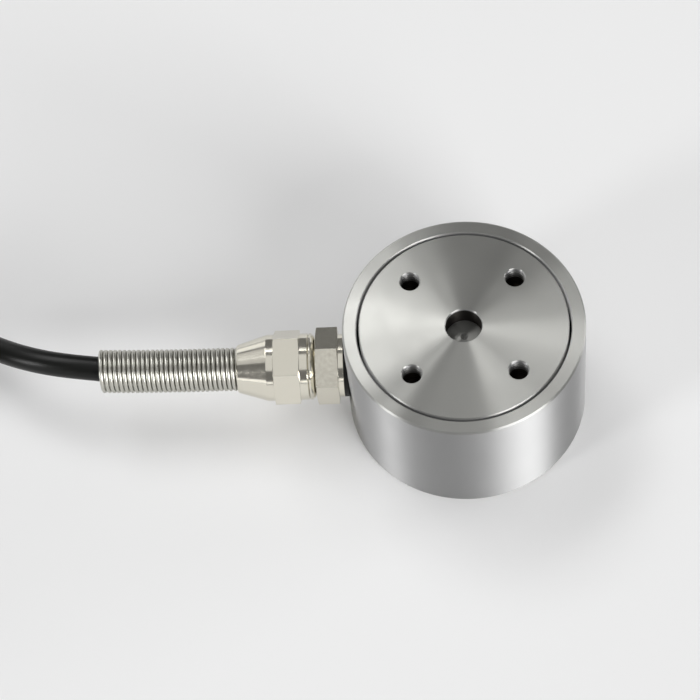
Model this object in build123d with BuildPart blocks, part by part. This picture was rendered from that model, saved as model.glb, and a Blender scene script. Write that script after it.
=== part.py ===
from build123d import *

import os
from math import cos, pi, radians, sin, tan

# Miniature load cell: a round steel body with a load disc in its top face, and a cable gland with a
# spring strain relief on its side. Sizes are in millimetres. The origin is the middle of the base face,
# +Z is up through the load disc, and the gland points along -X.

# Round body
BODY_DIAMETER = 50.0
BODY_HEIGHT = 30.0
HOUSING_WALL = 2.9
RIM_BREAK = 0.35
EDGE_BREAK = 0.2
DISC_GAP = 0.5
DISC_THICKNESS = 9.0
BASE_THICKNESS = 8.0
BASE_STEP = 0.95
BASE_FIT = 0.05
COLUMN_WIDTH = 13.0
COLUMN_CORNER = 1.0
COLUMN_ROOT = 1.5

# Tapped holes in the load disc and the base, drilled 4.2 for M5, and the centring bore
BOLT_SPACING = 21.7
TAP_DRILL_DIAMETER = 4.2
COUNTERSINK = 0.15
LOAD_HOLE_DEPTH = 6.0
BASE_HOLE_DEPTH = 5.0
DRILL_POINT_ANGLE = 118.0
CENTRE_BORE_DIAMETER = 7.6
CENTRE_BORE_DEPTH = 4.7
CENTRE_BORE_BREAK = 0.15
CENTRE_MARK_DIAMETER = 1.6
CENTRE_MARK_DEPTH = 0.8

# Seal between the load disc and the housing
SEAL_TOP_DEPTH = 3.6
SEAL_GROOVE_DEPTH = 0.9
SEAL_GROOVE_HEIGHT = 1.8
SEAL_HEIGHT = 1.6

# Gauges, board and what is soldered to it
GAUGE_WIDTH = 5.0
GAUGE_MARGIN = 1.5
GAUGE_FILM = 0.08
LEAD_SPACING = 2.4
LEAD_WIDTH = 0.5
LEAD_THICKNESS = 0.12
LEAD_BEVEL = 1.5
LEAD_RISE = 0.6
BOARD_THICKNESS = 0.8
BOARD_CLEARANCE = 1.6
LEAD_REACH = 6.4
LANDING_MARGIN = 1.5
RESISTOR_LENGTH = 3.2
RESISTOR_WIDTH = 1.6
RESISTOR_HEIGHT = 0.6

# Port in the housing's side
PORT_HEIGHT = 15.0
PORT_THREAD_DIAMETER = 10.0
THREAD_FIT = 0.05
SPOT_DIAMETER = 18.0
SPOT_DEPTH = 0.6

# Gland body, from the spot face outwards
WASHER_DIAMETER = 13.1
WASHER_THICKNESS = 0.95
FLANGE_DIAMETER = 13.2
FLANGE_THICKNESS = 1.1
HEX_SIDES = 6
HEX_ACROSS_FLATS = 14.0
HEX_BEVEL_ANGLE = 8.0
BODY_HEX_LENGTH = 4.7
BODY_HEX_TURN = 57.0
NECK_DIAMETER = 11.2
NECK_LENGTH = 0.15
COLLAR_DIAMETER = 13.9
SHOULDER_THICKNESS = 1.2
# The shoulder's rounding: distances from its hexagon side, and what is lost there of its radius
SHOULDER_ROUNDING = [(0, 1.25), (0.3, 0.45), (0.9, 0)]
NECK_REACH = 0.6
SPIGOT_DIAMETER = 10.8
SPIGOT_LEAD = 0.4

# Compression nut, and what it squeezes
NUT_GAP = 0.15
NUT_COLLAR_LENGTH = 1.85
NUT_HEX_LENGTH = 5.45
NUT_HEX_TURN = 78.7
NUT_BAND_LENGTH = 1.5
CONE_LENGTH = 6.3
CONE_END_DIAMETER = 10.1
CONE_ROUNDING = 0.2
NUT_THREAD_DEPTH = 8.4
CLAMP_THICKNESS = 1.0
CLAMP_DIAMETER = 10.4
SEAL_BUSH_LENGTH = 6.2
SEAL_BUSH_DIAMETER = 8.8
TIGHTENING_RESERVE = 0.6

# Strain-relief spring: turns that show and turns inside the nut's mouth
SPRING_DIAMETER = 9.15
WIRE_DIAMETER = 0.9
SPRING_PITCH = 0.985
FREE_TURNS = 30
SOCKET_TURNS = 3
SPRING_FIT = 0.05
SPRING_LEAN = 0.7
SPRING_END_ANGLE = 252.0
RUNS_PER_TURN = 10

# Cable
CABLE_DIAMETER = 5.2
CABLE_CLEARANCE = 0.3
JACKET_REACH = 0.6
CORE_DIAMETER = 1.1
CORE_OFFSET = 0.62
SCREEN_DIAMETER = 0.6
UPPER_CORE_REACH = 5.3
LOWER_CORE_REACH = 3.5

# Put-away hank: two columns of turns on three layers, and a last part turn that climbs onto them
HANK_STRAIGHT = 88.0
HANK_FOLD_RADIUS = 15.6
HANK_COLUMNS = 2
HANK_LAYERS = 3
HANK_TOP_LENGTH = 30.0
HANK_CLIMB_LENGTH = 52.0
HANK_STUB_LENGTH = 16.0
HANK_BEVEL = 1.9
TIE_WIDTH = 3.0
TIE_THICKNESS = 0.7
TIE_CLEARANCE = 0.1
TIE_HEAD = (4.6, 3.0, 4.0)
NEAR_TIE_PLACE = 12.0
FAR_TIE_PLACE = 66.0

# Stripped far end of the cable
END_SLEEVE_LENGTH = 14.0
END_SLEEVE_TIP_DIAMETER = 4.0
TAIL_LENGTH = 36.0
TAIL_STRAIGHT = 4.0
STRIPPED_LENGTH = 6.0
CONDUCTOR_DIAMETER = 0.6

# The shorter run beside a bend leaves this share of itself to the bend's arc
ARC_SHARE = 0.45

# Thin wires have six sides
WIRE_SIDES = 6

body_radius = BODY_DIAMETER / 2
housing_bore = body_radius - HOUSING_WALL
disc_radius = housing_bore - DISC_GAP
disc_underside = BODY_HEIGHT - DISC_THICKNESS
base_seat = housing_bore + BASE_STEP + BASE_FIT
seal_groove_radius = disc_radius - SEAL_GROOVE_DEPTH
board_top = BASE_THICKNESS + BOARD_THICKNESS
cable_radius = CABLE_DIAMETER / 2
cable_bore = cable_radius + CABLE_CLEARANCE
spring_socket = SPRING_DIAMETER / 2 + SPRING_FIT

# Distances out from the body's axis, along the gland
port_face = body_radius - SPOT_DEPTH
flange_start = port_face + WASHER_THICKNESS
body_hex_start = flange_start + FLANGE_THICKNESS
neck_start = body_hex_start + BODY_HEX_LENGTH
shoulder_start = neck_start + NECK_LENGTH
shoulder_end = shoulder_start + SHOULDER_THICKNESS
nut_start = shoulder_end + NUT_GAP
nut_hex_start = nut_start + NUT_COLLAR_LENGTH
nut_hex_end = nut_hex_start + NUT_HEX_LENGTH
cone_start = nut_hex_end + NUT_BAND_LENGTH
cone_end = cone_start + CONE_LENGTH
nut_seat = nut_start + NUT_THREAD_DEPTH
clamp_start = nut_seat - CLAMP_THICKNESS
bush_start = clamp_start - SEAL_BUSH_LENGTH
spigot_end = clamp_start - TIGHTENING_RESERVE
socket_floor = cone_end - SOCKET_TURNS * SPRING_PITCH
spring_mouth = cone_end + FREE_TURNS * SPRING_PITCH
port_inside = housing_bore - NECK_REACH
jacket_start = port_inside - JACKET_REACH

# The gland's axis as a plane to sketch across, and the plane that holds its section
GLAND = Plane(origin=(0, 0, PORT_HEIGHT), x_dir=(0, -1, 0), z_dir=(-1, 0, 0))
GLAND_SECTION = Plane(origin=(0, 0, PORT_HEIGHT), x_dir=(-1, 0, 0), z_dir=(0, 1, 0))
GLAND_AXIS = Axis((0, 0, PORT_HEIGHT), (-1, 0, 0))

# Rows of the hank: heights of the layers and distances of the columns from the hank's long axis
hank_lift = TIE_THICKNESS + TIE_CLEARANCE
first_row = hank_lift + cable_radius
hank_inner = HANK_FOLD_RADIUS - cable_radius
hank_outer = hank_inner + HANK_COLUMNS * CABLE_DIAMETER
hank_middle = (hank_inner + hank_outer) / 2
hank_top = hank_lift + HANK_LAYERS * CABLE_DIAMETER
leg_row = hank_outer - cable_radius

# Free stretch of the cable, from the spring's mouth to the hank on the floor
CABLE_ROUTE = [
    (-spring_mouth, 1.3, PORT_HEIGHT),
    (-84.5, 2.3, PORT_HEIGHT),
    (-92.7, 5.1, 13.6),
    (-99.8, 9.4, 10.7),
    (-106.2, 14.5, 7.1),
    (-113.6, 18.7, 4.7),
    (-122.0, leg_row, first_row),
    (-130.7, leg_row, first_row),
]
hank_near_fold = CABLE_ROUTE[-1][0] - HANK_STUB_LENGTH
hank_far_fold = hank_near_fold - HANK_STRAIGHT
jacket_end = hank_near_fold - HANK_TOP_LENGTH
sleeve_end = jacket_end - END_SLEEVE_LENGTH
tail_row = hank_top + cable_radius


def bend_radii(name, points):
    """Radius of each bend of a route, as large as the shorter run beside it allows."""
    corners = [Vector(*point) for point in points]
    radii = []
    for before, corner, after in zip(corners, corners[1:], corners[2:]):
        shorter = min((corner - before).length, (after - corner).length)
        turn = (corner - before).get_angle(after - corner)
        radii.append(ARC_SHARE * shorter / tan(radians(turn) / 2))
    print(name, "bend radii", [round(radius, 1) for radius in radii])
    return radii


def bent_run(name, points, diameter, sides=0):
    """Solid of one section, round or with some sides, along straight runs joined by tangent arcs."""
    with BuildPart() as run:
        with BuildLine():
            path = FilletPolyline(*points, radius=bend_radii(name, points))
        with BuildSketch(Plane(origin=path @ 0, z_dir=path % 0)) as section:
            if sides:
                RegularPolygon(diameter / 2, sides)
            else:
                Circle(diameter / 2)
        sweep()
    expected = path.length * section.sketch.area
    print(name, "volume", round(run.part.volume, 2), "section times length", round(expected, 2))
    return run.part


def drilled_hole(depth):
    """Cutter for a tapped hole: countersunk mouth at the origin, drilled down to a conical point."""
    drill_radius = TAP_DRILL_DIAMETER / 2
    point = drill_radius / tan(radians(DRILL_POINT_ANGLE / 2))
    with BuildPart() as cutter:
        with BuildSketch(Plane.XZ):
            with BuildLine():
                Polyline(
                    (0, 0),
                    (drill_radius + COUNTERSINK, 0),
                    (drill_radius, -COUNTERSINK),
                    (drill_radius, -depth),
                    (0, -depth - point),
                    close=True,
                )
            make_face()
        revolve(axis=Axis.Z)
    return cutter.part


def hexagon(length, turn):
    """Hexagonal bar along +Z with bevelled corners, one flat facing the given angle from +X."""
    corner = HEX_ACROSS_FLATS / 2 / cos(pi / HEX_SIDES)
    bevel = (corner - HEX_ACROSS_FLATS / 2) * tan(radians(HEX_BEVEL_ANGLE))
    with BuildPart() as bar:
        with BuildSketch():
            RegularPolygon(
                HEX_ACROSS_FLATS / 2,
                HEX_SIDES,
                major_radius=False,
                rotation=turn - 180 / HEX_SIDES,
            )
        extrude(amount=length)
        with BuildSketch(Plane.XZ):
            with BuildLine():
                Polyline(
                    (0, 0),
                    (HEX_ACROSS_FLATS / 2, 0),
                    (corner, bevel),
                    (corner, length - bevel),
                    (HEX_ACROSS_FLATS / 2, length),
                    (0, length),
                    close=True,
                )
            make_face()
        revolve(axis=Axis.Z, mode=Mode.INTERSECT)
    return bar.part


# One-piece sensing element: base flange, square column and load disc
load_hole = drilled_hole(LOAD_HOLE_DEPTH)
base_hole = drilled_hole(BASE_HOLE_DEPTH)
with BuildPart() as sensing_element:
    with BuildSketch():
        Circle(housing_bore + BASE_STEP)
    extrude(amount=BASE_THICKNESS)
    with BuildSketch(Plane.XY.offset(BASE_THICKNESS)):
        RectangleRounded(COLUMN_WIDTH, COLUMN_WIDTH, COLUMN_CORNER)
    extrude(amount=disc_underside - BASE_THICKNESS)
    with BuildSketch(Plane.XY.offset(disc_underside)):
        Circle(disc_radius)
    extrude(amount=DISC_THICKNESS)
    column_flats = sensing_element.faces().filter_by(Axis.X)
    chamfer(column_flats.edges().filter_by(Axis.Y), COLUMN_ROOT)
    disc_rim = sensing_element.edges().filter_by(GeomType.CIRCLE).sort_by(Axis.Z)[-1]
    chamfer(disc_rim, EDGE_BREAK)
    with BuildSketch(Plane.XZ):
        with Locations((seal_groove_radius, BODY_HEIGHT - SEAL_TOP_DEPTH)):
            Rectangle(2 * SEAL_GROOVE_DEPTH, SEAL_GROOVE_HEIGHT, align=(Align.MIN, Align.MAX))
    revolve(axis=Axis.Z, mode=Mode.SUBTRACT)
    with Locations(Plane.XY.offset(BODY_HEIGHT)):
        with GridLocations(BOLT_SPACING, BOLT_SPACING, 2, 2):
            add(load_hole, mode=Mode.SUBTRACT)
    with Locations(Plane(origin=(0, 0, 0), z_dir=(0, 0, -1))):
        with GridLocations(BOLT_SPACING, BOLT_SPACING, 2, 2):
            add(base_hole, mode=Mode.SUBTRACT)
    with BuildSketch(Plane.XZ):
        with BuildLine():
            Polyline(
                (0, BODY_HEIGHT),
                (CENTRE_BORE_DIAMETER / 2 + CENTRE_BORE_BREAK, BODY_HEIGHT),
                (CENTRE_BORE_DIAMETER / 2, BODY_HEIGHT - CENTRE_BORE_BREAK),
                (CENTRE_BORE_DIAMETER / 2, BODY_HEIGHT - CENTRE_BORE_DEPTH),
                (CENTRE_MARK_DIAMETER / 2, BODY_HEIGHT - CENTRE_BORE_DEPTH),
                (0, BODY_HEIGHT - CENTRE_BORE_DEPTH - CENTRE_MARK_DEPTH),
                close=True,
            )
        make_face()
    revolve(axis=Axis.Z, mode=Mode.SUBTRACT)

# Housing sleeve: ring and side wall, stepped inside to sit on the base flange, with the gland's port
with BuildPart() as housing_sleeve:
    with BuildSketch(Plane.XZ):
        with BuildLine():
            Polyline(
                (housing_bore, BASE_THICKNESS),
                (base_seat, BASE_THICKNESS),
                (base_seat, 0),
                (body_radius - RIM_BREAK, 0),
                (body_radius, RIM_BREAK),
                (body_radius, BODY_HEIGHT - RIM_BREAK),
                (body_radius - RIM_BREAK, BODY_HEIGHT),
                (housing_bore + EDGE_BREAK, BODY_HEIGHT),
                (housing_bore, BODY_HEIGHT - EDGE_BREAK),
                close=True,
            )
        make_face()
    revolve(axis=Axis.Z)
    with BuildSketch(GLAND.offset(port_face)):
        Circle(SPOT_DIAMETER / 2)
    extrude(amount=2 * SPOT_DEPTH, mode=Mode.SUBTRACT)
    with BuildSketch(GLAND.offset(port_inside)):
        Circle(PORT_THREAD_DIAMETER / 2)
    extrude(amount=body_radius - port_inside, mode=Mode.SUBTRACT)

# Rubber ring between the load disc and the housing, squeezed flat where it touches them
with BuildPart() as gap_seal:
    seal_middle = BODY_HEIGHT - SEAL_TOP_DEPTH - SEAL_GROOVE_HEIGHT / 2
    with BuildSketch(Plane.XZ):
        with Locations(((seal_groove_radius + housing_bore) / 2, seal_middle)):
            Rectangle(housing_bore - seal_groove_radius, SEAL_HEIGHT)
    revolve(axis=Axis.Z)

# Foil gauges, one on each flat of the column
gauge_middle = (BASE_THICKNESS + disc_underside) / 2
gauge_length = disc_underside - BASE_THICKNESS - 2 * (COLUMN_ROOT + GAUGE_MARGIN)
with BuildPart() as strain_gauges:
    with Locations((0, 0, gauge_middle)):
        with PolarLocations(COLUMN_WIDTH / 2, 4):
            Box(GAUGE_FILM, GAUGE_WIDTH, gauge_length, align=(Align.MIN, Align.CENTER, Align.CENTER))

# Ribbon leads: out from each gauge's lower end, then down to the board near its inner edge
board_outer = housing_bore - BOARD_CLEARANCE
lead_start = COLUMN_WIDTH / 2 + GAUGE_FILM
lead_landing = lead_start + LEAD_REACH
board_inner = lead_landing - LANDING_MARGIN
lead_height = gauge_middle - gauge_length / 2 + LEAD_RISE
with BuildPart() as lead:
    with BuildLine(Plane.XZ):
        Polyline(
            (lead_start, lead_height),
            (lead_landing - LEAD_BEVEL, lead_height),
            (lead_landing, lead_height - LEAD_BEVEL),
            (lead_landing, board_top),
        )
    with BuildSketch(Plane(origin=(lead_start, 0, lead_height), x_dir=(0, 1, 0), z_dir=(1, 0, 0))):
        Rectangle(LEAD_WIDTH, LEAD_THICKNESS)
    sweep(transition=Transition.RIGHT)
with BuildPart() as gauge_leads:
    with PolarLocations(0, 4):
        with Locations((0, -LEAD_SPACING / 2, 0), (0, LEAD_SPACING / 2, 0)):
            add(lead.part)

# Ring-shaped terminal board on the base flange, inside the housing
with BuildPart() as terminal_board:
    with BuildSketch(Plane.XY.offset(BASE_THICKNESS)):
        Circle(board_outer)
        Circle(board_inner, mode=Mode.SUBTRACT)
    extrude(amount=BOARD_THICKNESS)

# Four resistors that balance and trim the bridge
with BuildPart() as trim_resistors:
    with Locations((0, 0, board_top)):
        with PolarLocations((board_inner + board_outer) / 2, 4, start_angle=45):
            Box(
                RESISTOR_WIDTH,
                RESISTOR_LENGTH,
                RESISTOR_HEIGHT,
                align=(Align.CENTER, Align.CENTER, Align.MIN),
            )

# Gland body: threaded neck in the port, flange, hexagon, shoulder and a spigot that holds the bush
body_hexagon = hexagon(BODY_HEX_LENGTH, BODY_HEX_TURN)
port_neck = PORT_THREAD_DIAMETER / 2 - THREAD_FIT
with BuildPart() as gland_body:
    with BuildSketch(GLAND_SECTION):
        with BuildLine():
            Polyline(
                (port_inside, cable_bore),
                (port_inside, port_neck - SPIGOT_LEAD),
                (port_inside + SPIGOT_LEAD, port_neck),
                (flange_start, port_neck),
                (flange_start, FLANGE_DIAMETER / 2),
                (body_hex_start, FLANGE_DIAMETER / 2),
                (body_hex_start, NECK_DIAMETER / 2),
                (shoulder_start, NECK_DIAMETER / 2),
                *[(shoulder_start + along, COLLAR_DIAMETER / 2 - lost) for along, lost in SHOULDER_ROUNDING],
                (shoulder_end, COLLAR_DIAMETER / 2),
                (shoulder_end, SPIGOT_DIAMETER / 2),
                (spigot_end - SPIGOT_LEAD, SPIGOT_DIAMETER / 2),
                (spigot_end, SPIGOT_DIAMETER / 2 - SPIGOT_LEAD),
                (spigot_end, SEAL_BUSH_DIAMETER / 2),
                (bush_start, SEAL_BUSH_DIAMETER / 2),
                (bush_start, cable_bore),
                close=True,
            )
        make_face()
    revolve(axis=GLAND_AXIS)
    with Locations(GLAND.offset(body_hex_start)):
        add(body_hexagon)
    with BuildSketch(GLAND.offset(body_hex_start)):
        Circle(cable_bore)
    extrude(amount=BODY_HEX_LENGTH, mode=Mode.SUBTRACT)

# Black rubber washer between the gland's flange and the spot face
with BuildPart() as sealing_washer:
    with BuildSketch(GLAND.offset(port_face)):
        Circle(WASHER_DIAMETER / 2)
        Circle(PORT_THREAD_DIAMETER / 2, mode=Mode.SUBTRACT)
    extrude(amount=WASHER_THICKNESS)

# Rubber bush that grips the cable
with BuildPart() as cable_seal:
    with BuildSketch(GLAND.offset(bush_start)):
        Circle(SEAL_BUSH_DIAMETER / 2)
        Circle(cable_radius, mode=Mode.SUBTRACT)
    extrude(amount=SEAL_BUSH_LENGTH)

# Ring that the nut presses on the bush
with BuildPart() as clamp_ring:
    with BuildSketch(GLAND.offset(clamp_start)):
        Circle(CLAMP_DIAMETER / 2)
        Circle(cable_bore, mode=Mode.SUBTRACT)
    extrude(amount=CLAMP_THICKNESS)

# Compression nut: collar, hexagon, band and cone, with the spring's socket in the cone's mouth
nut_hexagon = hexagon(NUT_HEX_LENGTH, NUT_HEX_TURN)
nut_thread = SPIGOT_DIAMETER / 2 + THREAD_FIT
with BuildPart() as compression_nut:
    with BuildSketch(GLAND_SECTION):
        with BuildLine():
            Polyline(
                (nut_start, nut_thread),
                (nut_start, COLLAR_DIAMETER / 2 - EDGE_BREAK),
                (nut_start + EDGE_BREAK, COLLAR_DIAMETER / 2),
                (cone_start, COLLAR_DIAMETER / 2),
                (cone_end - CONE_ROUNDING, CONE_END_DIAMETER / 2),
                (cone_end, CONE_END_DIAMETER / 2 - CONE_ROUNDING),
                (cone_end, spring_socket),
                (socket_floor, spring_socket),
                (socket_floor, cable_bore),
                (nut_seat, cable_bore),
                (nut_seat, nut_thread),
                close=True,
            )
        make_face()
    revolve(axis=GLAND_AXIS)
    with Locations(GLAND.offset(nut_hex_start)):
        add(nut_hexagon)
    with BuildSketch(GLAND.offset(nut_hex_start)):
        Circle(nut_thread)
    extrude(amount=NUT_HEX_LENGTH, mode=Mode.SUBTRACT)

# Strain-relief spring: one wire in close right-hand turns. Its axis starts straight in the nut and
# leans slightly towards +Y at the mouth. Each turn is a few straight runs, mitred where they meet.
coil_radius = (SPRING_DIAMETER - WIRE_DIAMETER) / 2
wire_points = []
for step in range((SOCKET_TURNS + FREE_TURNS - 1) * RUNS_PER_TURN + 1):
    out = socket_floor + WIRE_DIAMETER / 2 + SPRING_PITCH * step / RUNS_PER_TURN
    free_share = max(0, (out - cone_end) / (spring_mouth - cone_end))
    angle = radians(SPRING_END_ANGLE) - 2 * pi * step / RUNS_PER_TURN
    sideways = coil_radius * cos(angle) + SPRING_LEAN * free_share**2
    wire_points.append((-out, sideways, PORT_HEIGHT + coil_radius * sin(angle)))
with BuildPart() as strain_relief_spring:
    with BuildLine() as wire_line:
        Polyline(*wire_points)
    first_run = Vector(*wire_points[1]) - Vector(*wire_points[0])
    with BuildSketch(Plane(origin=wire_points[0], x_dir=(0, 1, 0), z_dir=first_run)):
        RegularPolygon(WIRE_DIAMETER / 2, WIRE_SIDES)
    sweep(transition=Transition.RIGHT)

# Cable inside the gland and the spring. It leans over in the spring to meet the free stretch.
mouth = Vector(*CABLE_ROUTE[0])
first_step = Vector(*CABLE_ROUTE[1]) - mouth
lean_start = mouth.X - mouth.Y * first_step.X / first_step.Y
inner_route = [
    (-jacket_start, 0, PORT_HEIGHT),
    (lean_start, 0, PORT_HEIGHT),
    CABLE_ROUTE[0],
]
cable_in_gland = bent_run("cable in gland", inner_route, CABLE_DIAMETER)
cable_run = bent_run("cable run", CABLE_ROUTE, CABLE_DIAMETER)

# The four cores, from the jacket's end down to the board
cores = {}
core_places = {"red": (1, 1), "black": (1, -1), "green": (-1, 1), "white": (-1, -1)}
for colour, (side, level) in core_places.items():
    landing = jacket_start - (UPPER_CORE_REACH if level > 0 else LOWER_CORE_REACH)
    core_side = side * CORE_OFFSET
    core_height = PORT_HEIGHT + level * CORE_OFFSET
    core_route = [
        (-jacket_start, core_side, core_height),
        (-landing, core_side, core_height),
        (-landing, core_side, board_top),
    ]
    cores[colour] = bent_run("core " + colour, core_route, CORE_DIAMETER, WIRE_SIDES)

# Hank: the outer shape of the turns, with a stub where the free stretch joins its lowest row
hank_centre = (hank_near_fold + hank_far_fold) / 2
with BuildPart() as cable_hank:
    with BuildSketch(Plane.XY.offset(hank_lift)):
        with Locations((hank_centre, 0)):
            SlotCenterToCenter(HANK_STRAIGHT, 2 * hank_outer)
            SlotCenterToCenter(HANK_STRAIGHT, 2 * hank_inner, mode=Mode.SUBTRACT)
    extrude(amount=HANK_LAYERS * CABLE_DIAMETER)
    chamfer(cable_hank.edges().filter_by(Plane.XY), HANK_BEVEL)
    with BuildSketch(Plane.XY.offset(hank_top - cable_radius)):
        with Locations((hank_centre, 0)):
            SlotCenterToCenter(HANK_STRAIGHT, 2 * (hank_middle + cable_radius))
            SlotCenterToCenter(HANK_STRAIGHT, 2 * (hank_middle - cable_radius), mode=Mode.SUBTRACT)
        with Locations((jacket_end, 0)):
            Rectangle(HANK_STRAIGHT, hank_outer, align=(Align.MAX, Align.MIN), mode=Mode.SUBTRACT)
        with Locations((hank_near_fold - HANK_CLIMB_LENGTH, 0)):
            Rectangle(HANK_STRAIGHT, hank_outer, align=(Align.MAX, Align.MAX), mode=Mode.SUBTRACT)
    extrude(amount=CABLE_DIAMETER + cable_radius)
    top_turn = cable_hank.faces().sort_by(Axis.Z)[-1]
    chamfer(top_turn.outer_wire().edges().filter_by(lambda edge: edge.length > CABLE_DIAMETER), HANK_BEVEL)
    with BuildSketch(Plane.XY.offset(hank_lift)):
        with Locations((hank_near_fold, leg_row)):
            Rectangle(HANK_STUB_LENGTH, CABLE_DIAMETER, align=(Align.MIN, Align.CENTER))
    extrude(amount=CABLE_DIAMETER)


def tie(place, side, rows):
    """Strap pulled tight round one leg of the hank, with its head on the inner side."""
    with BuildPart() as strap:
        with BuildSketch(Plane.YZ.offset(place)):
            with BuildLine():
                Polyline(*rows, close=True)
            make_face()
            offset(amount=cable_radius + TIE_CLEARANCE + TIE_THICKNESS, mode=Mode.REPLACE)
        extrude(amount=TIE_WIDTH / 2, both=True)
        head_face = side * (hank_inner - TIE_CLEARANCE - TIE_THICKNESS / 2)
        head_length, head_depth, head_width = TIE_HEAD
        with Locations((place, head_face - side * head_depth / 2, (hank_lift + hank_top) / 2)):
            Box(head_width, head_depth, head_length)
        with BuildSketch(Plane.YZ.offset(place)):
            with BuildLine():
                Polyline(*rows, close=True)
            make_face()
            offset(amount=cable_radius + TIE_CLEARANCE, mode=Mode.REPLACE)
        extrude(amount=TIE_WIDTH, both=True, mode=Mode.SUBTRACT)
    return strap.part


# Ties: one round the far leg, and one round the near leg and the last part turn on it
last_row = hank_top - cable_radius
far_tie = tie(
    hank_near_fold - FAR_TIE_PLACE,
    -1,
    [
        (-leg_row, first_row),
        (-HANK_FOLD_RADIUS, first_row),
        (-HANK_FOLD_RADIUS, last_row),
        (-leg_row, last_row),
    ],
)
near_tie = tie(
    hank_near_fold - NEAR_TIE_PLACE,
    1,
    [
        (leg_row, first_row),
        (HANK_FOLD_RADIUS, first_row),
        (HANK_FOLD_RADIUS, last_row),
        (hank_middle, tail_row),
        (leg_row, last_row),
    ],
)
with BuildPart() as hank_ties:
    add(far_tie)
    add(near_tie)

# Shrink sleeve on the jacket's end, tapering to the bundle of cores
sleeve_plane = Plane(origin=(jacket_end, hank_middle, tail_row), x_dir=(0, -1, 0), z_dir=(-1, 0, 0))
with BuildPart() as end_sleeve:
    with Locations(sleeve_plane):
        Cone(
            cable_radius,
            END_SLEEVE_TIP_DIAMETER / 2,
            END_SLEEVE_LENGTH,
            align=(Align.CENTER, Align.CENTER, Align.MIN),
        )

# Stripped cores and the screen wire: straight out of the sleeve, then down and apart on the hank's top.
# Each has its place in the bundle, the distance at which it lands, and how far aside it lands and ends.
tail_places = {
    "red": (1, 1, 22.0, 3.6, 4.6),
    "black": (1, -1, 15.0, 1.6, 2.4),
    "green": (-1, 1, 22.0, -3.6, -4.6),
    "white": (-1, -1, 15.0, -1.6, -2.4),
    "screen": (0, 0, 18.0, 0.0, 0.4),
}
tails = {}
conductors = []
for colour, (side, level, landing, landing_side, tip_side) in tail_places.items():
    wire = SCREEN_DIAMETER if colour == "screen" else CORE_DIAMETER
    start_side = hank_middle + side * CORE_OFFSET
    start_height = tail_row + level * CORE_OFFSET
    rest_height = hank_top + wire / 2 + TIE_CLEARANCE
    tail_route = [
        (sleeve_end, start_side, start_height),
        (sleeve_end - TAIL_STRAIGHT, start_side, start_height),
        (sleeve_end - landing, hank_middle + landing_side, rest_height),
        (sleeve_end - TAIL_LENGTH, hank_middle + tip_side, rest_height),
    ]
    tails[colour] = bent_run("tail " + colour, tail_route, wire, WIRE_SIDES)
    tip = Vector(*tail_route[-1])
    with BuildPart() as conductor:
        with BuildSketch(Plane(origin=tip, z_dir=tip - Vector(*tail_route[-2]))):
            RegularPolygon(CONDUCTOR_DIAMETER / 2, WIRE_SIDES)
        extrude(amount=STRIPPED_LENGTH)
    if colour != "screen":
        conductors.append(conductor.part)
with BuildPart() as tail_conductors:
    add(conductors)

pieces = {
    "sensing_element": sensing_element.part,
    "housing_sleeve": housing_sleeve.part,
    "gap_seal": gap_seal.part,
    "strain_gauges": strain_gauges.part,
    "gauge_leads": gauge_leads.part,
    "terminal_board": terminal_board.part,
    "trim_resistors": trim_resistors.part,
    "core_red": cores["red"],
    "core_black": cores["black"],
    "core_green": cores["green"],
    "core_white": cores["white"],
    "gland_body": gland_body.part,
    "sealing_washer": sealing_washer.part,
    "cable_seal": cable_seal.part,
    "clamp_ring": clamp_ring.part,
    "compression_nut": compression_nut.part,
    "strain_relief_spring": strain_relief_spring.part,
    "cable_in_gland": cable_in_gland,
    "cable_run": cable_run,
    "cable_hank": cable_hank.part,
    "hank_ties": hank_ties.part,
    "end_sleeve": end_sleeve.part,
    "tail_red": tails["red"],
    "tail_black": tails["black"],
    "tail_green": tails["green"],
    "tail_white": tails["white"],
    "tail_screen": tails["screen"],
    "tail_conductors": tail_conductors.part,
}
os.makedirs("parts", exist_ok=True)
for name, piece in pieces.items():
    piece.label = name
    export_step(piece, "parts/" + name + ".step")
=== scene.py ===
# %% [markdown]
# # Miniature load cell
# A load cell turns a push or a pull into an electrical signal. This one is a round body of stainless steel,
# 50 mm across, with a load disc in its top face and a cable that leaves through a gland and a spring. The CAD
# model already has every piece in its place, so this lesson gives each piece its finish, and makes again in
# Blender only what CAD keeps plain: the cable, the wire of the spring and the screw threads.

# %% Load the model
import math

import bmesh
import bpy
from mathutils import Matrix, Vector


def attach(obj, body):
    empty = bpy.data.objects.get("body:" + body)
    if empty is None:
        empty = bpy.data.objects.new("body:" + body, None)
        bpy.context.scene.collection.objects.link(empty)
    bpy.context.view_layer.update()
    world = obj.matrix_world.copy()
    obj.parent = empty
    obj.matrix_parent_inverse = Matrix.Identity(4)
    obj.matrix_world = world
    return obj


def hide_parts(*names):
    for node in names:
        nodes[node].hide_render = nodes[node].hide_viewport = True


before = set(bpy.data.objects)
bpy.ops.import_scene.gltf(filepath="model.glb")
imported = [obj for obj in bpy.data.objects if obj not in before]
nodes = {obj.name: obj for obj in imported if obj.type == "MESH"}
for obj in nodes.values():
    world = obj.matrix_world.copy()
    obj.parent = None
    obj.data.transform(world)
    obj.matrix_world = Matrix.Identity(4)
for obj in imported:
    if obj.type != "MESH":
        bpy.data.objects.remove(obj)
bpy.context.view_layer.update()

print("pieces in the model:", len(nodes))

# %% [markdown]
# ## The camera
# The camera comes first, because everything after it is judged in its frame. A product photograph is taken
# from a distance with a long lens, so that parallel lines stay nearly parallel. The place and the three turns
# below put the rims, the holes and the gland of the model where a photograph shows them.

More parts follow.
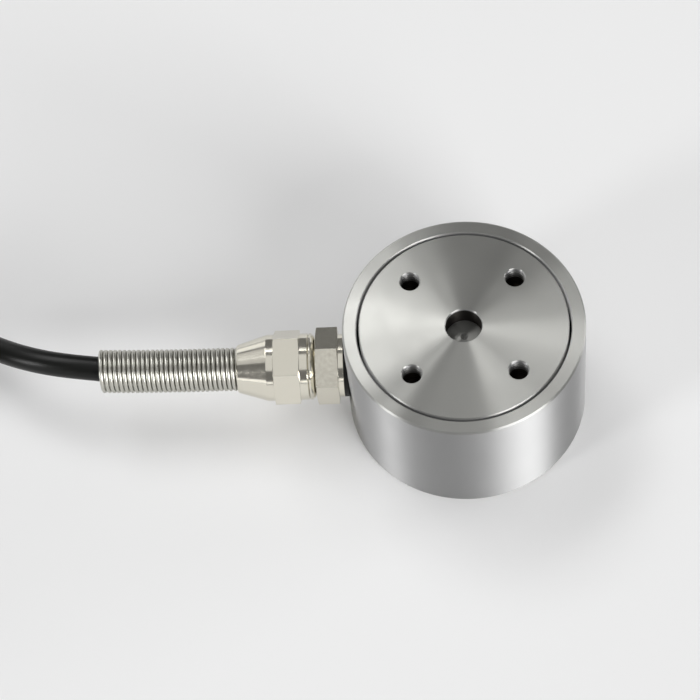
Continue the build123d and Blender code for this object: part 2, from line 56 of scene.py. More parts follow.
# %% Camera
# Blender counts in metres, and the object's lengths are written in millimetres
MM = 0.001
CAMERA_PLACE = Vector((6.06, -308.43, 579.66)) * MM
CAMERA_YAW = math.radians(-5.533)
CAMERA_PITCH = math.radians(60.966)
CAMERA_ROLL = math.radians(-7.019)
CAMERA_LENS = 158.33
CAMERA_SENSOR = 36.0
# Nothing nearer or farther than these is drawn, in metres
CAMERA_NEAR = 0.01
CAMERA_FAR = 20.0


def camera_turn():
    """Turn matrix of the camera from its yaw, its pitch down and its roll."""
    ahead = Vector(
        (
            math.sin(CAMERA_YAW) * math.cos(CAMERA_PITCH),
            math.cos(CAMERA_YAW) * math.cos(CAMERA_PITCH),
            -math.sin(CAMERA_PITCH),
        )
    )
    level = Vector((math.cos(CAMERA_YAW), -math.sin(CAMERA_YAW), 0))
    upright = level.cross(ahead)
    right = level * math.cos(CAMERA_ROLL) + upright * math.sin(CAMERA_ROLL)
    up = upright * math.cos(CAMERA_ROLL) - level * math.sin(CAMERA_ROLL)
    return Matrix((right, up, -ahead)).transposed()


camera_data = bpy.data.cameras.new("camera")
camera_data.lens = CAMERA_LENS
camera_data.sensor_width = CAMERA_SENSOR
camera_data.clip_start = CAMERA_NEAR
camera_data.clip_end = CAMERA_FAR
camera = bpy.data.objects.new("camera", camera_data)
bpy.context.scene.collection.objects.link(camera)
camera.matrix_world = Matrix.Translation(CAMERA_PLACE) @ camera_turn().to_4x4()
bpy.context.scene.camera = camera
print("camera stands", round(CAMERA_PLACE.length, 3), "m from the middle of the base")

# %% [markdown]
# ## The free cable
# The cable is a 5.2 mm jacket of extruded PVC over four cores and a screen. It leaves the spring straight,
# sinks to the floor and is folded there into a tied hank, as such cells are shipped. A cable can be a swept
# mesh, but a curve with a round bevel is simpler: its points stay few, and a NURBS curve of order 3 bends
# smoothly near them. The hank is worked out by a loop. A fold is half a ring of six points, on a circle a
# little larger than the cable's own line, because the curve touches the middle of each side of the polygon
# that its points make.

# %% Route of the free stretch
CABLE_DIAMETER = 5.2
# Control points in millimetres, from the spring's mouth down to the floor
CABLE_ROUTE = [
    (-77.3, 1.3, 15.0),
    (-84.5, 2.3, 15.0),
    (-92.7, 5.1, 13.6),
    (-99.8, 9.4, 10.7),
    (-106.2, 14.5, 7.1),
    (-113.6, 18.7, 4.7),
    (-122.0, 20.8, 3.4),
    (-130.7, 20.8, 3.4),
]

# %% Turns of the hank
# The legs run along X between two folds, and each row is a distance to either side of the hank's middle
HANK_STRAIGHT = 88.0
FOLD_NEAR = -146.7
FOLD_FAR = FOLD_NEAR - HANK_STRAIGHT
FOLD_POINTS = 6
INNER_ROW = 15.6
OUTER_ROW = INNER_ROW + CABLE_DIAMETER
MIDDLE_ROW = (INNER_ROW + OUTER_ROW) / 2
FIRST_LAYER = CABLE_ROUTE[-1][2]
LAYERS = [FIRST_LAYER + CABLE_DIAMETER * number for number in range(3)]
TOP_LAYER = LAYERS[2] + CABLE_DIAMETER * math.sqrt(3) / 2
TOP_LENGTH = 30.0
# A turn shifts to its next row on the far leg, each turn a little before the one that it follows
SHIFT_START = FOLD_NEAR - 14.0
SHIFT_STEP = 6.0
SHIFT_RUN = 9.0
ROWS = [
    (OUTER_ROW, LAYERS[0]),
    (INNER_ROW, LAYERS[0]),
    (INNER_ROW, LAYERS[1]),
    (OUTER_ROW, LAYERS[1]),
    (OUTER_ROW, LAYERS[2]),
    (INNER_ROW, LAYERS[2]),
    (MIDDLE_ROW, TOP_LAYER),
]
half_side = math.tan(math.pi / FOLD_POINTS / 2)


def fold(centre, row, height, start):
    """Points of half a ring about (centre, 0), from the angle start, turning anticlockwise."""
    step = math.pi / FOLD_POINTS
    radius = row / math.cos(step / 2)
    points = []
    for number in range(FOLD_POINTS):
        angle = start + step * (number + 0.5)
        points.append((centre + radius * math.cos(angle), radius * math.sin(angle), height))
    return points


def hank_points():
    """Points of all the turns, from the free stretch's last point to the jacket's end."""
    points = []
    for number, (row, height) in enumerate(ROWS):
        run = row * half_side
        if number:
            points += fold(FOLD_NEAR, row, height, -math.pi / 2)
        if number == len(ROWS) - 1:
            points.append((FOLD_NEAR - run, row, height))
            points.append((FOLD_NEAR - TOP_LENGTH, row, height))
            return points
        points.append((FOLD_NEAR - run, row, height))
        points.append((FOLD_FAR + run, row, height))
        points += fold(FOLD_FAR, row, height, math.pi / 2)
        points.append((FOLD_FAR + run, -row, height))
        middle = SHIFT_START - SHIFT_STEP * number
        next_row, next_height = ROWS[number + 1]
        # Out of this row half a run before the middle of the shift, and in the next one half a run after it
        points.append((middle - 1.5 * SHIFT_RUN, -row, height))
        points.append((middle - 0.5 * SHIFT_RUN, -row, height))
        points.append((middle + 0.5 * SHIFT_RUN, -next_row, next_height))
        if number:
            points.append((middle + 1.5 * SHIFT_RUN, -next_row, next_height))


# %% Cable as a curve
def curve_piece(name, points, diameter, bevel_resolution=8, resolution=6):
    """NURBS curve of order 3 through a row of control points in millimetres, with a round bevel."""
    data = bpy.data.curves.new(name, "CURVE")
    data.dimensions = "3D"
    spline = data.splines.new("NURBS")
    spline.points.add(len(points) - 1)
    for point, place in zip(spline.points, points):
        point.co = (*(Vector(place) * MM), 1)
        point.radius = diameter / 2 * MM
    spline.order_u = 3
    spline.use_endpoint_u = True
    spline.resolution_u = resolution
    # The bevel is one metre deep, and the points' radius makes it the cable's own
    data.bevel_depth = 1.0
    data.bevel_resolution = bevel_resolution
    data.use_fill_caps = True
    piece = bpy.data.objects.new(name, data)
    bpy.context.scene.collection.objects.link(piece)
    return piece


cable = curve_piece("cable", CABLE_ROUTE + hank_points(), CABLE_DIAMETER)
cable_points = [Vector(point.co[:3]) for point in cable.data.splines[0].points]
cable_length = sum((b - a).length for a, b in zip(cable_points, cable_points[1:]))
print("cable has", len(cable_points), "points, runs together", round(cable_length, 3), "m")
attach(cable, "root")
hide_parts("cable_run", "cable_hank")

# %% [markdown]
# ## Small helpers for materials
# Colours are written as a designer picks them, as sRGB hex, and one function turns them into the linear
# values that light is computed with. A second function adds one shader node, sets its values and joins its
# inputs, so that a material reads from top to bottom like a recipe. Two more start an empty material and give
# a finished one to whole pieces.

# %% Colour and node helpers
# Nearly all the values of a noise texture lie between these two
NOISE_LOW = 0.3
NOISE_HIGH = 0.7


def colour(text):
    """Linear colour of an sRGB hex text such as #a0a0a0."""
    values = []
    for start in (1, 3, 5):
        value = int(text[start : start + 2], 16) / 255
        # The curve is the one in the sRGB standard: straight near black, a power above
        values.append(value / 12.92 if value <= 0.04045 else ((value + 0.055) / 1.055) ** 2.4)
    return (*values, 1)


def add_node(tree, kind, settings=None, **inputs):
    """Adds a node with its settings, and gives each input a value or a link from another node's output."""
    node = tree.nodes.new(kind)
    for key, value in (settings or {}).items():
        setattr(node, key, value)
    for key, value in inputs.items():
        socket = node.inputs[int(key[1:]) if key[1:].isdigit() else key.replace("_", " ")]
        if isinstance(value, bpy.types.NodeSocket):
            tree.links.new(value, socket)
        else:
            socket.default_value = value
    return node


def new_material(name):
    """Empty node material and its surface shader."""
    material = bpy.data.materials.new(name)
    material.use_nodes = True
    tree = material.node_tree
    shader = tree.nodes["Principled BSDF"]
    return material, tree, shader


def finish_pieces(material, *pieces):
    """Gives whole pieces one material."""
    for piece in pieces:
        target = nodes[piece] if isinstance(piece, str) else piece
        target.data.materials.clear()
        target.data.materials.append(material)


# %% [markdown]
# ## Turned stainless steel
# The disc and the housing are turned on a lathe from stainless steel. The tool leaves fine rings round the
# axis, so light runs out from the middle in fans on the flat faces and in upright bands on the side wall.
# Drawing every ring as bump would need more pixels than the picture has, so the shader's anisotropy does it.
# Its tangent runs round the axis, along the rings, and a quarter turn of the highlight makes it wide across
# them and narrow along them. A faint bump of rings, coarser than the real 0.05 mm feed so that it shows,
# breaks up the fans.

# %% Turned stainless steel
STEEL_PIECES = ("sensing_element", "housing_sleeve")
BODY_HEIGHT = 30.0
BOLT_SPACING = 21.7
RING_SPACING = 0.35
RING_DEPTH = 0.01
QUARTER_TURN = 0.25
WEAR_PATCH = 9.0
WEAR_CHANGE = 0.03
# A point within HOLE_EDGE of a tapped hole's axis is in that hole. Its colour is darkened there with painted
# shade, from the lip down to the depth that light still reaches, and the bore in the middle is painted in the
# same way.
HOLE_EDGE = 2.25
HOLE_LIP = 0.3
HOLE_LIGHT = 3.5
HOLE_SHADE = 0.98
BORE_EDGE = 3.95
BORE_LIP = 0.25
BORE_LIGHT = 0.7
BORE_WALL_SHADE = 0.94
BORE_FLOOR_SHADE = 0.45
# Near-black brown that the painted shade mixes in deep in the holes and the bore
PAINTED_HOLE_SHADE_COLOUR = "#1a150e"
# The cutting edge leaves each ring a little steeper on its outer side, which leans the surface outwards
RING_LEAN = math.tan(math.radians(10.5))


def turned_steel(name, face_tint, wall_tint, face_roughness, wall_roughness, anisotropy, ring_strength):
    """Stainless steel with turning rings about the body's axis, and painted shade deep in its holes."""
    material, tree, shader = new_material(name)
    place = add_node(tree, "ShaderNodeTexCoord")
    parts = add_node(tree, "ShaderNodeSeparateXYZ", _0=place.outputs["Object"])
    flat = add_node(tree, "ShaderNodeCombineXYZ", X=parts.outputs["X"], Y=parts.outputs["Y"], Z=0.0)
    from_axis = add_node(tree, "ShaderNodeVectorMath", {"operation": "LENGTH"}, _0=flat.outputs["Vector"])
    outward = add_node(tree, "ShaderNodeVectorMath", {"operation": "NORMALIZE"}, _0=flat.outputs["Vector"])
    # Rings differ in depth: noise over the distance from the axis and the height, none round the axis
    ring_place = add_node(
        tree,
        "ShaderNodeCombineXYZ",
        X=from_axis.outputs["Value"],
        Y=parts.outputs["Z"],
        Z=0.0,
    )
    rings = add_node(
        tree,
        "ShaderNodeTexNoise",
        {"noise_dimensions": "3D"},
        Vector=ring_place.outputs["Vector"],
        Scale=1 / (RING_SPACING * MM),
        Detail=3.0,
        Roughness=0.6,
    )
    # Only the flat faces lean: a wall's normal already points away from its own axis
    shape = add_node(tree, "ShaderNodeNewGeometry")
    normal_parts = add_node(tree, "ShaderNodeSeparateXYZ", _0=shape.outputs["Normal"])
    upward = add_node(tree, "ShaderNodeMath", {"operation": "ABSOLUTE"}, _0=normal_parts.outputs["Z"])
    lean_share = add_node(
        tree, "ShaderNodeMath", {"operation": "MULTIPLY"}, _0=upward.outputs["Value"], _1=RING_LEAN
    )
    lean = add_node(
        tree,
        "ShaderNodeVectorMath",
        {"operation": "SCALE"},
        _0=outward.outputs["Vector"],
        Scale=lean_share.outputs["Value"],
    )
    leaning = add_node(tree, "ShaderNodeVectorMath", _0=shape.outputs["Normal"], _1=lean.outputs["Vector"])
    leaning_unit = add_node(
        tree, "ShaderNodeVectorMath", {"operation": "NORMALIZE"}, _0=leaning.outputs["Vector"]
    )
    bump = add_node(
        tree,
        "ShaderNodeBump",
        Strength=ring_strength,
        Distance=RING_DEPTH * MM,
        Height=rings.outputs["Fac"],
        Normal=leaning_unit.outputs["Vector"],
    )
    # The side wall is cut with a coarser feed than the faces, so it is rougher
    feed = add_node(
        tree,
        "ShaderNodeMapRange",
        Value=upward.outputs["Value"],
        To_Min=wall_roughness,
        To_Max=face_roughness,
    )
    wear = add_node(
        tree,
        "ShaderNodeTexNoise",
        Vector=place.outputs["Object"],
        Scale=1 / (WEAR_PATCH * MM),
        Detail=4.0,
        Roughness=0.55,
    )
    wear_range = add_node(
        tree,
        "ShaderNodeMapRange",
        Value=wear.outputs["Fac"],
        From_Min=NOISE_LOW,
        From_Max=NOISE_HIGH,
        To_Min=-WEAR_CHANGE,
        To_Max=WEAR_CHANGE,
    )
    rough = add_node(tree, "ShaderNodeMath", _0=feed.outputs["Result"], _1=wear_range.outputs["Result"])
    # Distance from the nearest tapped hole's axis: the four holes are one hole in the first quarter
    fold_x = add_node(tree, "ShaderNodeMath", {"operation": "ABSOLUTE"}, _0=parts.outputs["X"])
    fold_y = add_node(tree, "ShaderNodeMath", {"operation": "ABSOLUTE"}, _0=parts.outputs["Y"])
    folded = add_node(
        tree,
        "ShaderNodeCombineXYZ",
        X=fold_x.outputs["Value"],
        Y=fold_y.outputs["Value"],
        Z=0.0,
    )
    hole_arm = add_node(
        tree,
        "ShaderNodeVectorMath",
        {"operation": "SUBTRACT"},
        _0=folded.outputs["Vector"],
        _1=Vector((BOLT_SPACING / 2, BOLT_SPACING / 2, 0)) * MM,
    )
    from_hole = add_node(tree, "ShaderNodeVectorMath", {"operation": "LENGTH"}, _0=hole_arm.outputs["Vector"])
    in_hole = add_node(
        tree,
        "ShaderNodeMath",
        {"operation": "LESS_THAN"},
        _0=from_hole.outputs["Value"],
        _1=HOLE_EDGE * MM,
    )
    in_bore = add_node(
        tree,
        "ShaderNodeMath",
        {"operation": "LESS_THAN"},
        _0=from_axis.outputs["Value"],
        _1=BORE_EDGE * MM,
    )
    # Painted shade: the colour darkens with depth in the holes and the bore, for the little light that finds
    # its way out of a deep hole. Depth is counted from the nearer end of the body.
    middle = BODY_HEIGHT / 2 * MM
    off_middle = add_node(tree, "ShaderNodeMath", {"operation": "SUBTRACT"}, _0=parts.outputs["Z"], _1=middle)
    span = add_node(tree, "ShaderNodeMath", {"operation": "ABSOLUTE"}, _0=off_middle.outputs["Value"])
    depth = add_node(tree, "ShaderNodeMath", {"operation": "SUBTRACT"}, _0=middle, _1=span.outputs["Value"])
    hole_depth = add_node(
        tree,
        "ShaderNodeMapRange",
        Value=depth.outputs["Value"],
        From_Min=HOLE_LIP * MM,
        From_Max=HOLE_LIGHT * MM,
        To_Min=0.0,
        To_Max=HOLE_SHADE,
    )
    bore_dark = add_node(
        tree,
        "ShaderNodeMapRange",
        Value=upward.outputs["Value"],
        To_Min=BORE_WALL_SHADE,
        To_Max=BORE_FLOOR_SHADE,
    )
    bore_depth = add_node(
        tree,
        "ShaderNodeMapRange",
        Value=depth.outputs["Value"],
        From_Min=BORE_LIP * MM,
        From_Max=BORE_LIGHT * MM,
        To_Min=0.0,
        To_Max=bore_dark.outputs["Result"],
    )
    hole_shade = add_node(
        tree,
        "ShaderNodeMath",
        {"operation": "MULTIPLY"},
        _0=in_hole.outputs["Value"],
        _1=hole_depth.outputs["Result"],
    )
    bore_shade = add_node(
        tree,
        "ShaderNodeMath",
        {"operation": "MULTIPLY"},
        _0=in_bore.outputs["Value"],
        _1=bore_depth.outputs["Result"],
    )
    shade = add_node(
        tree,
        "ShaderNodeMath",
        {"operation": "MAXIMUM"},
        _0=hole_shade.outputs["Value"],
        _1=bore_shade.outputs["Value"],
    )
    # The flat faces are a shade warmer than the side wall
    tint = add_node(
        tree,
        "ShaderNodeMix",
        {"data_type": "RGBA"},
        _0=upward.outputs["Value"],
        _6=colour(wall_tint),
        _7=colour(face_tint),
    )
    # Painted shade: the tint is mixed towards a near-black brown deep in the holes and the bore
    painted_hole_shade = add_node(
        tree,
        "ShaderNodeMix",
        {"data_type": "RGBA"},
        _0=shade.outputs["Value"],
        _6=tint.outputs[2],
        _7=colour(PAINTED_HOLE_SHADE_COLOUR),
    )
    # A tapped hole has its grooves round its own axis, so the arm found in the first quarter is mirrored
    # back into the hole's own quarter
    sign_x = add_node(tree, "ShaderNodeMath", {"operation": "SIGN"}, _0=parts.outputs["X"])
    sign_y = add_node(tree, "ShaderNodeMath", {"operation": "SIGN"}, _0=parts.outputs["Y"])
    signs = add_node(
        tree,
        "ShaderNodeCombineXYZ",
        X=sign_x.outputs["Value"],
        Y=sign_y.outputs["Value"],
        Z=1.0,
    )
    own_arm = add_node(
        tree,
        "ShaderNodeVectorMath",
        {"operation": "MULTIPLY"},
        _0=hole_arm.outputs["Vector"],
        _1=signs.outputs["Vector"],
    )
    hole_tangent = add_node(
        tree,
        "ShaderNodeVectorMath",
        {"operation": "CROSS_PRODUCT"},
        _0=(0, 0, 1),
        _1=own_arm.outputs["Vector"],
    )
    hole_tangent_unit = add_node(
        tree, "ShaderNodeVectorMath", {"operation": "NORMALIZE"}, _0=hole_tangent.outputs["Vector"]
    )
    body_tangent = add_node(tree, "ShaderNodeTangent", {"direction_type": "RADIAL", "axis": "Z"})
    tangent = add_node(
        tree,
        "ShaderNodeMix",
        {"data_type": "VECTOR"},
        _0=in_hole.outputs["Value"],
        _4=body_tangent.outputs["Tangent"],
        _5=hole_tangent_unit.outputs["Vector"],
    )
    shader.inputs["Metallic"].default_value = 1.0
    shader.inputs["Anisotropic"].default_value = anisotropy
    shader.inputs["Anisotropic Rotation"].default_value = QUARTER_TURN
    tree.links.new(painted_hole_shade.outputs[2], shader.inputs["Base Color"])
    tree.links.new(rough.outputs["Value"], shader.inputs["Roughness"])
    tree.links.new(bump.outputs["Normal"], shader.inputs["Normal"])
    tree.links.new(tangent.outputs[1], shader.inputs["Tangent"])
    return material


stainless = turned_steel(
    "turned_stainless_steel",
    face_tint="#b4b4b0",
    wall_tint="#b4b4b4",
    face_roughness=0.36,
    wall_roughness=0.7,
    anisotropy=0.97,
    ring_strength=0.25,
)
finish_pieces(stainless, *STEEL_PIECES)
print("turned steel on", len(STEEL_PIECES), "pieces")

# %% [markdown]
# ## Nickel-plated brass
# The gland is turned from hexagonal brass bar and nickel plated. Nickel is a little warmer than steel, and
# plating is smooth, so its highlights are sharper than those of the body.

# %% Nickel-plated brass
PLATE_GRAIN = 0.6
PLATE_BUMP = 0.08
PLATE_BUMP_DEPTH = 0.02
PLATE_ROUGHNESS_CHANGE = 0.04
NICKEL_EDGE_RADIUS = 0.14


def plated_metal(name, tint, roughness, edge_radius=0.0):
    """Smooth plated metal with a slight unevenness left from turning, and edges that plating has rounded."""
    material, tree, shader = new_material(name)
    place = add_node(tree, "ShaderNodeTexCoord")
    grain = add_node(
        tree,
        "ShaderNodeTexNoise",
        Vector=place.outputs["Object"],
        Scale=1 / (PLATE_GRAIN * MM),
        Detail=4.0,
    )
    rough_range = add_node(
        tree,
        "ShaderNodeMapRange",
        Value=grain.outputs["Fac"],
        From_Min=NOISE_LOW,
        From_Max=NOISE_HIGH,
        To_Min=roughness - PLATE_ROUGHNESS_CHANGE,
        To_Max=roughness + PLATE_ROUGHNESS_CHANGE,
    )
    bump = add_node(
        tree,
        "ShaderNodeBump",
        Strength=PLATE_BUMP,
        Distance=PLATE_BUMP_DEPTH * MM,
        Height=grain.outputs["Fac"],
    )
    if edge_radius:
        edge = add_node(tree, "ShaderNodeBevel", {"samples": 4}, Radius=edge_radius * MM)
        tree.links.new(edge.outputs["Normal"], bump.inputs["Normal"])
    shader.inputs["Base Color"].default_value = colour(tint)
    shader.inputs["Metallic"].default_value = 1.0
    tree.links.new(rough_range.outputs["Result"], shader.inputs["Roughness"])
    tree.links.new(bump.outputs["Normal"], shader.inputs["Normal"])
    return material


nickel = plated_metal("nickel_plated_brass", "#e3dfd2", 0.15, NICKEL_EDGE_RADIUS)
finish_pieces(nickel, "gland_body", "compression_nut")
finish_pieces(plated_metal("turned_brass", "#c9a35a", 0.3), "clamp_ring")
finish_pieces(plated_metal("tinned_copper", "#c9c8c4", 0.35), "gauge_leads", "tail_screen", "tail_conductors")

# %% [markdown]
# ## Black rubber and PVC
# The cable's jacket is extruded PVC: almost smooth, with a soft sheen along its top. The washer and the
# seals are moulded nitrile rubber, a little rougher. Neither is pure black, and both are duller than most
# plastics. The same function also makes the ties, the sleeve, the board and the colours of the cores.

# %% Rubber and plastics
DULL_SHEEN = 0.25
GRAIN_DEPTH = 0.05
GRAIN_ROUGHNESS_CHANGE = 0.06
CLOUD_PATCH = 6.0
CLOUD_SHADE_CHANGE = 0.15


def moulded(name, tint, roughness, grain_size, grain_strength):
    """Moulded or extruded plastic or rubber with a fine grain and a slight change of shade."""
    material, tree, shader = new_material(name)
    place = add_node(tree, "ShaderNodeTexCoord")
    grain = add_node(
        tree,
        "ShaderNodeTexNoise",
        Vector=place.outputs["Object"],
        Scale=1 / (grain_size * MM),
        Detail=5.0,
        Roughness=0.6,
    )
    cloud = add_node(
        tree,
        "ShaderNodeTexNoise",
        Vector=place.outputs["Object"],
        Scale=1 / (CLOUD_PATCH * MM),
        Detail=3.0,
    )
    base = colour(tint)
    shade = add_node(tree, "ShaderNodeValToRGB", Fac=cloud.outputs["Fac"])
    darker, lighter = shade.color_ramp.elements
    darker.position = NOISE_LOW
    darker.color = (*(value * (1 - CLOUD_SHADE_CHANGE) for value in base[:3]), 1)
    lighter.position = NOISE_HIGH
    lighter.color = (*(value * (1 + CLOUD_SHADE_CHANGE) for value in base[:3]), 1)
    rough_range = add_node(
        tree,
        "ShaderNodeMapRange",
        Value=grain.outputs["Fac"],
        From_Min=NOISE_LOW,
        From_Max=NOISE_HIGH,
        To_Min=roughness - GRAIN_ROUGHNESS_CHANGE,
        To_Max=roughness + GRAIN_ROUGHNESS_CHANGE,
    )
    bump = add_node(
        tree,
        "ShaderNodeBump",
        Strength=grain_strength,
        Distance=GRAIN_DEPTH * MM,
        Height=grain.outputs["Fac"],
    )
    tree.links.new(shade.outputs["Color"], shader.inputs["Base Color"])
    tree.links.new(rough_range.outputs["Result"], shader.inputs["Roughness"])
    tree.links.new(bump.outputs["Normal"], shader.inputs["Normal"])
    return material


jacket = moulded("extruded_pvc_jacket", "#0b0c0a", 0.34, 0.25, 0.15)
rubber = moulded("moulded_nitrile_rubber", "#0d0d0c", 0.55, 0.3, 0.2)
for dull in (jacket, rubber):
    dull.node_tree.nodes["Principled BSDF"].inputs["Specular IOR Level"].default_value = DULL_SHEEN
finish_pieces(jacket, "cable_in_gland", "cable_run", "cable_hank", cable)
finish_pieces(rubber, "sealing_washer", "gap_seal", "cable_seal")

# Material, tint, roughness, size of the grain in mm, its strength, and the pieces that it goes on
PLASTICS = [
    ("shrunk_polyolefin", "#181818", 0.5, 0.4, 0.1, ("end_sleeve",)),
    ("moulded_nylon_tie", "#1b1b1b", 0.4, 0.5, 0.1, ("hank_ties",)),
    ("polyimide_film", "#b5762c", 0.35, 0.5, 0.05, ("strain_gauges",)),
    ("solder_resist_board", "#1f5a33", 0.4, 0.5, 0.1, ("terminal_board",)),
    ("resistor_body", "#242424", 0.5, 0.3, 0.1, ("trim_resistors",)),
    ("red_core_insulation", "#b02020", 0.4, 0.4, 0.1, ("core_red", "tail_red")),
    ("black_core_insulation", "#202020", 0.4, 0.4, 0.1, ("core_black", "tail_black")),
    ("green_core_insulation", "#22803a", 0.4, 0.4, 0.1, ("core_green", "tail_green")),
    ("white_core_insulation", "#e4e2dc", 0.4, 0.4, 0.1, ("core_white", "tail_white")),
]
for name, tint, roughness, grain_size, grain_strength, pieces in PLASTICS:
    finish_pieces(moulded(name, tint, roughness, grain_size, grain_strength), *pieces)

# %% [markdown]
# ## The spring
# The strain relief is a close-wound spring of bright drawn wire. CAD keeps its turns as short straight runs,
# so here the wire is made again as a true helix. A curve could be bevelled for this too, but a mesh tube made
# in one loop keeps full control of the turns: the axis leans a little towards +Y at the mouth, and each end
# of the wire is cut square.

# %% Wire of the spring
SPRING_DIAMETER = 9.15
WIRE_DIAMETER = 0.9
SPRING_PITCH = 0.985
SPRING_TURNS = 32
SOCKET_TURNS = 3
STEPS_PER_TURN = 36
WIRE_SIDES = 12
SPRING_END_ANGLE = 252.0
# The first turns sit in a socket in the nut, inside the end of its cone
CONE_END = 47.75
SPRING_START = CONE_END - SOCKET_TURNS * SPRING_PITCH + WIRE_DIAMETER / 2
SPRING_MOUTH = 77.3
SPRING_LEAN = 0.7
GLAND_HEIGHT = 15.0


def spring_axis(out):
    """Point of the spring's axis at a distance out from the body's axis."""
    free_share = max(0.0, (out - CONE_END) / (SPRING_MOUTH - CONE_END))
    return Vector((-out, SPRING_LEAN * free_share**2, GLAND_HEIGHT))


def wire_spring():
    """Mesh tube along the helix, with flat ends."""
    mesh = bmesh.new()
    coil_radius = (SPRING_DIAMETER - WIRE_DIAMETER) / 2
    rings = []
    for step in range(SPRING_TURNS * STEPS_PER_TURN + 1):
        turn = step / STEPS_PER_TURN
        angle = math.radians(SPRING_END_ANGLE) - 2 * math.pi * turn
        outward = Vector((0, math.cos(angle), math.sin(angle)))
        axis_point = spring_axis(SPRING_START + SPRING_PITCH * turn)
        along = Vector(
            (
                -SPRING_PITCH,
                2 * math.pi * coil_radius * math.sin(angle),
                -2 * math.pi * coil_radius * math.cos(angle),
            )
        ).normalized()
        across = along.cross(outward)
        centre = axis_point + outward * coil_radius
        ring = []
        for side in range(WIRE_SIDES):
            turned = 2 * math.pi * side / WIRE_SIDES
            offset = (outward * math.cos(turned) + across * math.sin(turned)) * WIRE_DIAMETER / 2
            ring.append(mesh.verts.new((centre + offset) * MM))
        rings.append(ring)
    for ring, following in zip(rings, rings[1:]):
        for side in range(WIRE_SIDES):
            after = (side + 1) % WIRE_SIDES
            mesh.faces.new((ring[side], ring[after], following[after], following[side]))
    mesh.faces.new(list(reversed(rings[0])))
    mesh.faces.new(rings[-1])
    bmesh.ops.recalc_face_normals(mesh, faces=mesh.faces)
    data = bpy.data.meshes.new("spring_wire")
    mesh.to_mesh(data)
    mesh.free()
    data.polygons.foreach_set("use_smooth", [len(face.vertices) == 4 for face in data.polygons])
    piece = bpy.data.objects.new("spring_wire", data)
    bpy.context.scene.collection.objects.link(piece)
    return piece


spring = wire_spring()
bright_wire = plated_metal("bright_drawn_wire", "#c4c3bb", 0.3)
finish_pieces(bright_wire, spring, "strain_relief_spring")
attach(spring, "root")
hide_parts("strain_relief_spring")
print("spring has", len(spring.data.polygons), "faces")

# %% [markdown]
# ## Screw threads
# The eight M5 holes are plain in CAD, at the size of their tapping drill. A tapped hole is known by its
# crests, so a helical ridge is laid on the wall of each. Its flanks lean at 60 degrees to each other and its
# crest is flat, so every turn catches the light on the same line down the wall. The thread starts below the
# small countersink, where a tap leaves its first full turn, and ends above the cone that the drill left.

# %% Thread ridge
THREAD_PITCH = 0.8
THREAD_ROOT = 2.12
THREAD_CREST = 1.97
CREST_WIDTH = 0.2
FLANK_LEAN = math.radians(30)
THREAD_START = 0.45
LOAD_THREAD_TURNS = 6
BASE_THREAD_TURNS = 5
STEPS_PER_THREAD = 28


def thread_ridge(name, place, inward, turns):
    """Helical ridge on the wall of a tapped hole, from the mouth at place into the body."""
    mesh = bmesh.new()
    flank = (THREAD_ROOT - THREAD_CREST) * math.tan(FLANK_LEAN)
    half_crest = CREST_WIDTH / 2
    profile = [
        (THREAD_ROOT, -half_crest - flank),
        (THREAD_CREST, -half_crest),
        (THREAD_CREST, half_crest),
        (THREAD_ROOT, half_crest + flank),
    ]
    rows = []
    for step in range(turns * STEPS_PER_THREAD + 1):
        turn = step / STEPS_PER_THREAD
        # Right-hand from either face: the turn is counted about the way inwards
        angle = 2 * math.pi * turn * inward.z
        depth = THREAD_START + half_crest + flank + THREAD_PITCH * turn
        row = []
        for radius, shift in profile:
            spot = Vector((radius * math.cos(angle), radius * math.sin(angle), 0))
            row.append(mesh.verts.new(place + spot * MM + inward * (depth + shift) * MM))
        rows.append(row)
    for row, following in zip(rows, rows[1:]):
        for side in range(len(profile)):
            after = (side + 1) % len(profile)
            mesh.faces.new((row[side], row[after], following[after], following[side]))
    mesh.faces.new(rows[0])
    mesh.faces.new(rows[-1])
    bmesh.ops.recalc_face_normals(mesh, faces=mesh.faces)
    data = bpy.data.meshes.new(name)
    mesh.to_mesh(data)
    mesh.free()
    piece = bpy.data.objects.new(name, data)
    data.polygons.foreach_set("use_smooth", [len(face.vertices) == 4 for face in data.polygons])
    bpy.context.scene.collection.objects.link(piece)
    return piece


thread_number = 0
for across in (-1, 1):
    for along in (-1, 1):
        for mouth, inward, turns in (
            (BODY_HEIGHT, Vector((0, 0, -1)), LOAD_THREAD_TURNS),
            (0.0, Vector((0, 0, 1)), BASE_THREAD_TURNS),
        ):
            thread_number += 1
            hole = Vector((across * BOLT_SPACING / 2, along * BOLT_SPACING / 2, mouth)) * MM
            ridge = thread_ridge("thread_%d" % thread_number, hole, inward, turns)
            finish_pieces(stainless, ridge)
            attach(ridge, "root")
print("threads in", thread_number, "holes")

# %% [markdown]
# ## Floor and light
# The floor is a plain pale sheet that runs on behind the object. Soft lamps stand round it at one distance,
# each at an azimuth and an elevation. A ring of the turned face lights up wherever it can reflect a lamp into
# the camera, so every lamp makes one fan of light across the disc and one upright band on the side wall. The
# front lamp and the right strip make the bright band at the right, the left strip the narrow one at the left,
# and the lamps at the left and the back the broad fan. Wide dim panels, at the left, low in front and
# overhead, are mostly there for the plated gland, which mirrors its surroundings and would look black without
# them.

# %% Floor
FLOOR_SHADE = "#ededed"
FLOOR_ROUGHNESS = 0.9
# Half the side of the sheet, in metres
FLOOR_HALF = 15.0
floor_data = bpy.data.meshes.new("floor")
floor_corners = [(-1, -1, 0), (1, -1, 0), (1, 1, 0), (-1, 1, 0)]
floor_data.from_pydata([Vector(corner) * FLOOR_HALF for corner in floor_corners], [], [(0, 1, 2, 3)])
floor = bpy.data.objects.new("floor", floor_data)
bpy.context.scene.collection.objects.link(floor)
floor_material, floor_tree, floor_shader = new_material("pale_paper_floor")
floor_shader.inputs["Base Color"].default_value = colour(FLOOR_SHADE)
floor_shader.inputs["Roughness"].default_value = FLOOR_ROUGHNESS
# Matt paper has no sheen
floor_shader.inputs["Specular IOR Level"].default_value = 0.0
floor_data.materials.append(floor_material)

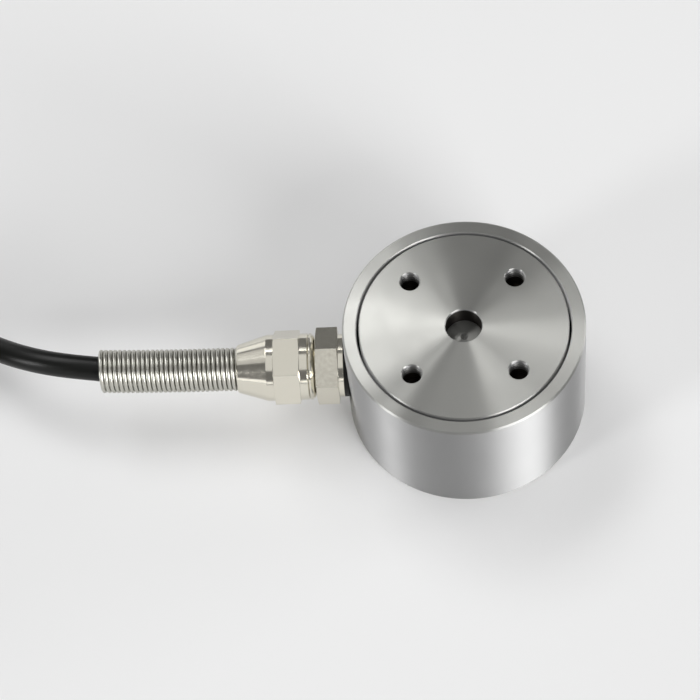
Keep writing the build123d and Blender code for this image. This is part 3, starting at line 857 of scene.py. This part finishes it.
# %% World
WORLD_LEVEL = 0.17
world = bpy.data.worlds.new("studio")
bpy.context.scene.world = world
world.use_nodes = True
world_light = world.node_tree.nodes["Background"]
world_light.inputs["Color"].default_value = colour("#ffffff")
world_light.inputs["Strength"].default_value = WORLD_LEVEL


# %% Lamps
# In metres from the middle of the base
LAMP_DISTANCE = 6.0
# Name, azimuth and elevation in degrees, width and height in metres, strength in watts
LAMPS = [
    ("front_lamp", -58, 27, 2.0, 2.4, 154.0),
    ("back_lamp", 118, 53, 2.4, 2.0, 61.6),
    ("left_panel", 152, 47, 5.0, 3.0, 21.0),
    ("left_lamp", 146, 60, 1.6, 1.6, 27.0),
    ("low_left_panel", 125, 14, 3.6, 2.2, 22.4),
    ("left_strip", -149, 17, 1.1, 2.6, 118.0),
    ("low_front_panel", -123, 6, 2.8, 1.0, 10.4),
    ("right_strip", -41, 10, 2.0, 1.6, 188.0),
    ("edge_strip", 20, 10, 2.4, 1.6, 76.0),
    ("overhead_lamp", -90, 78, 4.4, 6.2, 50.4),
    ("high_right_lamp", 40, 62, 2.4, 2.4, 22.4),
    ("small_front_lamp", -89, 8, 1.4, 0.88, 5.6),
]


def soft_lamp(name, azimuth, elevation, width, height, strength):
    """Rectangular lamp seen from the object at an azimuth and an elevation in degrees, facing it."""
    data = bpy.data.lights.new(name, "AREA")
    data.shape = "RECTANGLE"
    data.size = width
    data.size_y = height
    data.energy = strength
    lamp = bpy.data.objects.new(name, data)
    bpy.context.scene.collection.objects.link(lamp)
    turned, raised = math.radians(azimuth), math.radians(elevation)
    place = Vector(
        (
            math.cos(raised) * math.cos(turned),
            math.cos(raised) * math.sin(turned),
            math.sin(raised),
        )
    )
    facing = place.to_track_quat("Z", "Y").to_matrix().to_4x4()
    lamp.matrix_world = Matrix.Translation(place * LAMP_DISTANCE) @ facing


for lamp_row in LAMPS:
    soft_lamp(*lamp_row)
print("lamps round the object:", len(LAMPS))

# %% [markdown]
# ## Finish
# Blender dresses the object and never changes its size. The last cell sets the view transform to Standard.

# %% Finish
bpy.context.scene.view_settings.view_transform = "Standard"
